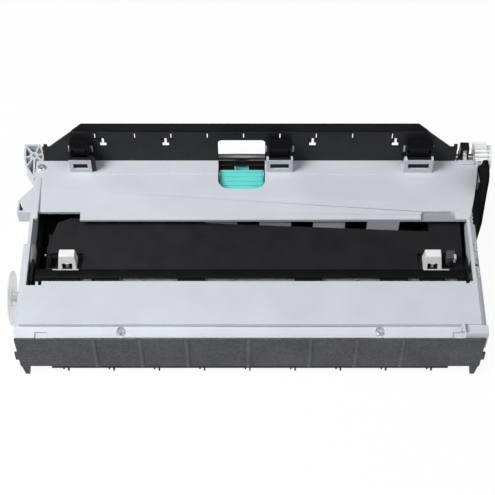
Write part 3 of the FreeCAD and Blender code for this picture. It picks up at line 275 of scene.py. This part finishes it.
block("bar_corner_pad", (152.2, 73.6, 52.5), (164.6, 77.5, 54.5), 0.7, gray_plastic)

# Raised band along the bar's left side, level with the strut, with a dark strip at its right
# that is partly the groove and partly painted shadow cast by the raised band, and the small
# post in the opening's front left corner. All are gray plastic in one piece with the frame.
block("left_bar_band", (-154.4, 25.4, 50.2), (-151.3, 61.5, 53.05), 0.2, gray_plastic)
# The strip is the darker gray, painted as the groove and the shadow beside the band.
block("left_bar_groove_and_shadow", (-151.4, 31.0, 51.0), (-150.7, 61.5, 53.02), 0.1, painted_shade_gray)
block("front_corner_post", (-147.6, -31.4, 50.4), (-145.7, -28.3, 52.9), 0.3, gray_plastic)


# Black mouldings: rear plate, deck, tank, brackets, arm and finger guard. All are
# satin black plastic that clips or screws to the gray frame; the arm has a matt skin.
def dress(node, material):
    """Gives a CAD node its finish."""
    slots = nodes[node].data.materials
    slots.clear()
    slots.append(material)


def on_lip_or_tongue(x, y, z, normal):
    """The rear plate's folded lip, painted a deeper black as its shade, and the upper part of its three
    tongues in the same deeper black.
    """
    return z > 85.6 or (y < 77 and z > 68)


black_plastic = moulded("black_plastic", (0.011, 0.011, 0.013), 0.45, 0.4, 0.008, drift=0.12, gloss=0.28)
arm_black = moulded("arm_black", (0.009, 0.009, 0.009), 0.8, 0.5, 0.02, drift=0.12, gloss=0.02)
# A deeper black: painted shade on the rear plate's lip; the other parts it dresses are simply a darker
# black.
deep_black_and_shade = moulded("deep_black_and_shade", (0.004, 0.004, 0.005), 0.5, 0.4, 0.008, drift=0.12, gloss=0.2)
plate = softened("rear_plate", 0.2, black_plastic)
repainted(plate, deep_black_and_shade, on_lip_or_tongue)
softened("side_arm", 0.5, arm_black)
for node, edge in (("shaft_bracket", 0.3), ("side_bracket_left", 0.2), ("side_bracket_right", 0.2)):
    softened(node, edge, black_plastic)
for node in ("ink_tank", "tray_deck", "finger_guard"):
    dress(node, black_plastic)

# Tongues' visible parts: a black strip beside the left loop, partly the tongue's side and partly painted
# shadow on the loop's side face, a dark cap over each loop's mouth and the tongue's body inside it. They
# belong to the rear plate.
for name, low, high, edge in (
        ("tongue_side_and_shadow", (-114.4, 67.0, 53.4), (-111.6, 70.2, 68.6), 0.9),
        ("tongue_cap_left", (-130.7, 66.4, 67.45), (-114.4, 76.4, 68.3), 0.3),
        ("tongue_cap_centre", (13.6, 66.5, 67.45), (29.4, 69.9, 68.3), 0.3),
        ("tongue_cap_right", (113.6, 66.5, 67.45), (130.4, 69.9, 68.3), 0.3)):
    block(name, low, high, edge, black_plastic)
for number, (x, half) in enumerate(zip(loop_xs, (5.3, 6.9, 7.8))):
    block("tongue_body_{}".format(number), (x - half, 67.4, 52.6), (x + half, 71.6, 63.5), 0.2,
          deep_black_and_shade)

# Guide bar over the front shaft: a thin black rail between the two end walls, just
# above the rollers, that leads the paper past them. Two short black covers in front
# of it hide the shaft's ends.
for name, low, high in (
        ("roller_guide_bar", (-150.4, -22.3, 47.65), (150.4, -15.2, 48.15)),
        ("shaft_end_cover_left", (-150.4, -25.6, 47.2), (-138.2, -21.8, 47.9)),
        ("shaft_end_cover_right", (143.5, -25.6, 47.2), (150.4, -21.8, 47.9))):
    block(name, low, high, 0.15, deep_black_and_shade)

# Tick tabs: a small black tab fills the right half and the top of each of the nine
# slots in the rear plate, so that only a narrow mark stays open.
tick_xs = (-110.85, -82.35, -56.3, -30.25, -4.2, 21.85, 47.9, 73.95, 102.45)
tick_front, tick_rear, tick_top = 78.0, 79.2, 85.5
for number, x in enumerate(tick_xs):
    block("tick_tab_{}".format(number), (x + 0.05, tick_front, 77.6), (x + 0.75, tick_rear, tick_top),
          0.08, black_plastic)
    block("tick_top_{}".format(number), (x - 0.75, tick_front, 83.4), (x + 0.1, tick_rear, tick_top),
          0.08, black_plastic)

# Shelf behind the latch: two black lands, one on each side of its bolt, that close
# the window below the finger guard.
for side, left, right in (("left", -22.9, -11.1), ("right", -0.9, 10.9)):
    block("guard_shelf_" + side, (left, 72.6, 46.4), (right, 77.9, 47.4), 0.15, deep_black_and_shade)

# Upright ears at the rear plate's two ends, in one piece with the plate: they
# locate it against the frame's rear corners.
for side, left, right, top in (("left", -149.2, -146.6, 71.0), ("right", 147.6, 150.2, 71.2)):
    block("plate_ear_" + side, (left, 77.7, 66.0), (right, 78.9, top), 0.3, black_plastic)

# Small folded tags that narrow the four marks in the rear plate. They are bent out
# of the plate itself, in the same black.
mark_xs = (-105.8, -60.7, 45.2, 104.8)
for number, x in enumerate(mark_xs):
    block("mark_tag_{}".format(number), (x - 3.6, 77.8, 74.2), (x - 0.8, 79.0, 77.2), 0.1,
          black_plastic)

# Pale marks beside the three tongues, one on each side: small patches of the light gray plastic, let into
# the front of the rear plate at the tongue's root, painted as the light that shows through the slots
# there.
slot_light_half = 0.75
for number, (left, right) in enumerate(((-130.8, -114.5), (11.7, 31.2), (112.0, 131.9))):
    for side, x in (("left", left), ("right", right)):
        block("tongue_slot_light_{}_{}".format(number, side), (x - slot_light_half, 77.3, 63.8),
              (x + slot_light_half, 77.75, 70.4), 0.1, gray_plastic)


# Front panel and paper guide: dark gray plastic with a coarse spark-eroded texture.
# The panel clips under the frame's front ledge, and the front faces of its seven ribs are painted lighter
# as the light they catch.
def eroded(name, colour):
    """Dark plastic from a spark-eroded mould: coarse grain that also speckles the colour."""
    material = moulded(name, colour, 0.62, 0.9, 0.12, drift=0.12, gloss=0.35)
    tree = material.node_tree
    shader = tree.nodes["Principled BSDF"]
    place = tree.nodes["Texture Coordinate"].outputs["Object"]
    plain = shader.inputs["Base Color"].links[0].from_socket
    speckle = tree.nodes.new("ShaderNodeVectorMath")
    speckle.operation = "SCALE"
    tree.links.new(plain, speckle.inputs[0])
    tree.links.new(mottled(tree, place, 1 / (1.5 * mm), 0.72, 1.28, 2), speckle.inputs["Scale"])
    tree.links.new(speckle.outputs[0], shader.inputs["Base Color"])
    return material


def rib_face_painted_light(x, y, z, normal):
    """The front faces of the panel's seven narrow ribs, painted lighter as the light they catch."""
    return y < -71.4


dark_textured = eroded("dark_textured", (0.070, 0.072, 0.080))
rib_lit_textured = eroded("rib_lit_textured", (0.095, 0.098, 0.107))
panel = softened("front_panel", 0.3, dark_textured)
repainted(panel, rib_lit_textured, rib_face_painted_light)
softened("bottom_guide", 0.15, deep_black_and_shade)

# White parts: acetal gears, shaft bushes and paper guide blocks. Natural white and
# slightly glossy; the gears are pressed on their shafts, the blocks clip to the deck.
white_plastic = moulded("white_plastic", (0.85, 0.86, 0.86), 0.4, 0.6, 0.004)
for side in ("left", "right"):
    softened("guide_block_" + side, 0.4, white_plastic)
for node in ("drive_gear", "rear_inner_gear", "front_gear", "idler_gear_a", "idler_gear_b",
             "idler_gear_c", "front_bush_left", "front_bush_right"):
    dress(node, white_plastic)

# Wall disc: a flat round boss on the left wall's inner side, behind the front shaft, painted white as the
# bright highlight it shows in the wall's shade. Its foot is cut off level with the deck, and it is
# pressed on the wall.
bpy.ops.object.select_all(action="DESELECT")
bpy.ops.mesh.primitive_cylinder_add(
    vertices=96, radius=12.5 * mm, depth=1.4 * mm,
    location=(-153.6 * mm, 0, 36 * mm), rotation=(0, math.radians(90), 0))
disc = bpy.context.object
disc.name = "left_wall_disc"
bpy.ops.object.transform_apply(location=True, rotation=True, scale=True)
bpy.ops.object.mode_set(mode="EDIT")
bpy.ops.mesh.select_all(action="SELECT")
bpy.ops.mesh.bevel(offset=0.3 * mm, segments=2, affect="EDGES")
bpy.ops.mesh.select_all(action="SELECT")
bpy.ops.mesh.bisect(plane_co=(0, 0, 30.2 * mm), plane_no=(0, 0, 1), use_fill=True, clear_inner=True)
bpy.ops.object.mode_set(mode="OBJECT")
bpy.ops.object.shade_smooth_by_angle(angle=smooth_angle)
disc.data.materials.append(white_plastic)
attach(disc, "container")

# Left wheel: milky acetal that lets a little light through. It turns on a steel pin
# outside the frame's left side.
milky_plastic = moulded("milky_plastic", (0.93, 0.94, 0.94), 0.45, 0.6, 0.004)
shader = milky_plastic.node_tree.nodes["Principled BSDF"]
shader.inputs["Transmission Weight"].default_value = 0.88
shader.inputs["IOR"].default_value = 1.15
dress("left_wheel", milky_plastic)

# Release latch: teal satin plastic slider with finger ridges. It slides in two
# grooves of the bar's window against its spring.
teal_plastic = moulded("teal_plastic", (0.13, 0.64, 0.60), 0.35, 0.5, 0.005)
softened("latch_slider", 0.25, teal_plastic, "latch")

# Steel: rear shaft, pins, spring and rings are drawn bright steel; the front shaft
# is painted a pale matt gray that stands in for the bright reflection on its steel.
steel = moulded("steel", (0.72, 0.72, 0.73), 0.35, 0.3, 0.002, metallic=1)
painted_reflection_gray = moulded("painted_reflection_gray", (0.50, 0.50, 0.50), 0.6, 0.3, 0.002, drift=0.1)
dress("front_shaft", painted_reflection_gray)
for node in ("rear_shaft", "idler_studs", "wheel_axle", "front_shaft_clips", "latch_spring"):
    dress(node, steel)

# Strips under the guide blocks: blackened spring steel held between the block and the deck,
# with a painted highlight in pale gray along the front edge.
pale_highlight_and_metal = moulded("pale_highlight_and_metal", (0.55, 0.55, 0.55), 0.5, 0.3, 0.002)
highlight_width = 0.7
for side in ("left", "right"):
    strip = softened("block_strip_" + side, 0.05, black_plastic)
    front = min(corner.co.y for corner in strip.data.vertices) / mm
    repainted(strip, pale_highlight_and_metal, lambda x, y, z, normal: y < front + highlight_width)
# Thin pale blocks on the deck's front edge below the strips: painted highlight.
for side, left, right in (("left", -137.6, -119.3), ("right", 120.9, 138.8)):
    block("strip_edge_highlight_" + side, (left, -15.9, 47.95), (right, -15.0, 48.4), 0.1, pale_highlight_and_metal)

# Fittings beside the guide blocks: a dark box with a metal leaf on the right, the leaf painted pale gray
# for its highlight, and a pale painted highlight at the tip of the left bracket's lever.
block("right_fitting_box", (138.0, -6.6, 41.2), (143.8, 0.2, 49.6), 0.4, dark_textured)
block("right_fitting_leaf", (142.8, -7.3, 44.6), (144.4, -3.6, 50.4), 0.3, pale_highlight_and_metal)
block("left_lever_tip_highlight", (-143.4, -5.2, 49.8), (-142.3, -4.3, 51.0), 0.2, pale_highlight_and_metal)

# Screws: pan heads with a cross recess, steel with bright zinc plate. Three hold the
# frame to its tank and one the side arm.
zinc_plate = moulded("zinc_plate", (0.90, 0.91, 0.92), 0.42, 0.3, 0.002, metallic=1)
for node in ("frame_screws", "arm_screw"):
    dress(node, zinc_plate)

# Rollers: black rubber sleeves, ground round and pressed on the two shafts, with a
# matt skin that grips the paper.
black_rubber = moulded("black_rubber", (0.008, 0.008, 0.008), 0.8, 0.5, 0.02, drift=0.1, gloss=0.15)
for node in ("front_rollers", "rear_rollers"):
    dress(node, black_rubber)

# Felt pads: pressed absorber felt, soaked dark with ink, laid loose in the tank's
# three bays.
felt = moulded("felt", (0.035, 0.035, 0.038), 0.95, 1.2, 0.3)
for node in ("felt_left", "felt_centre", "felt_right"):
    dress(node, felt)
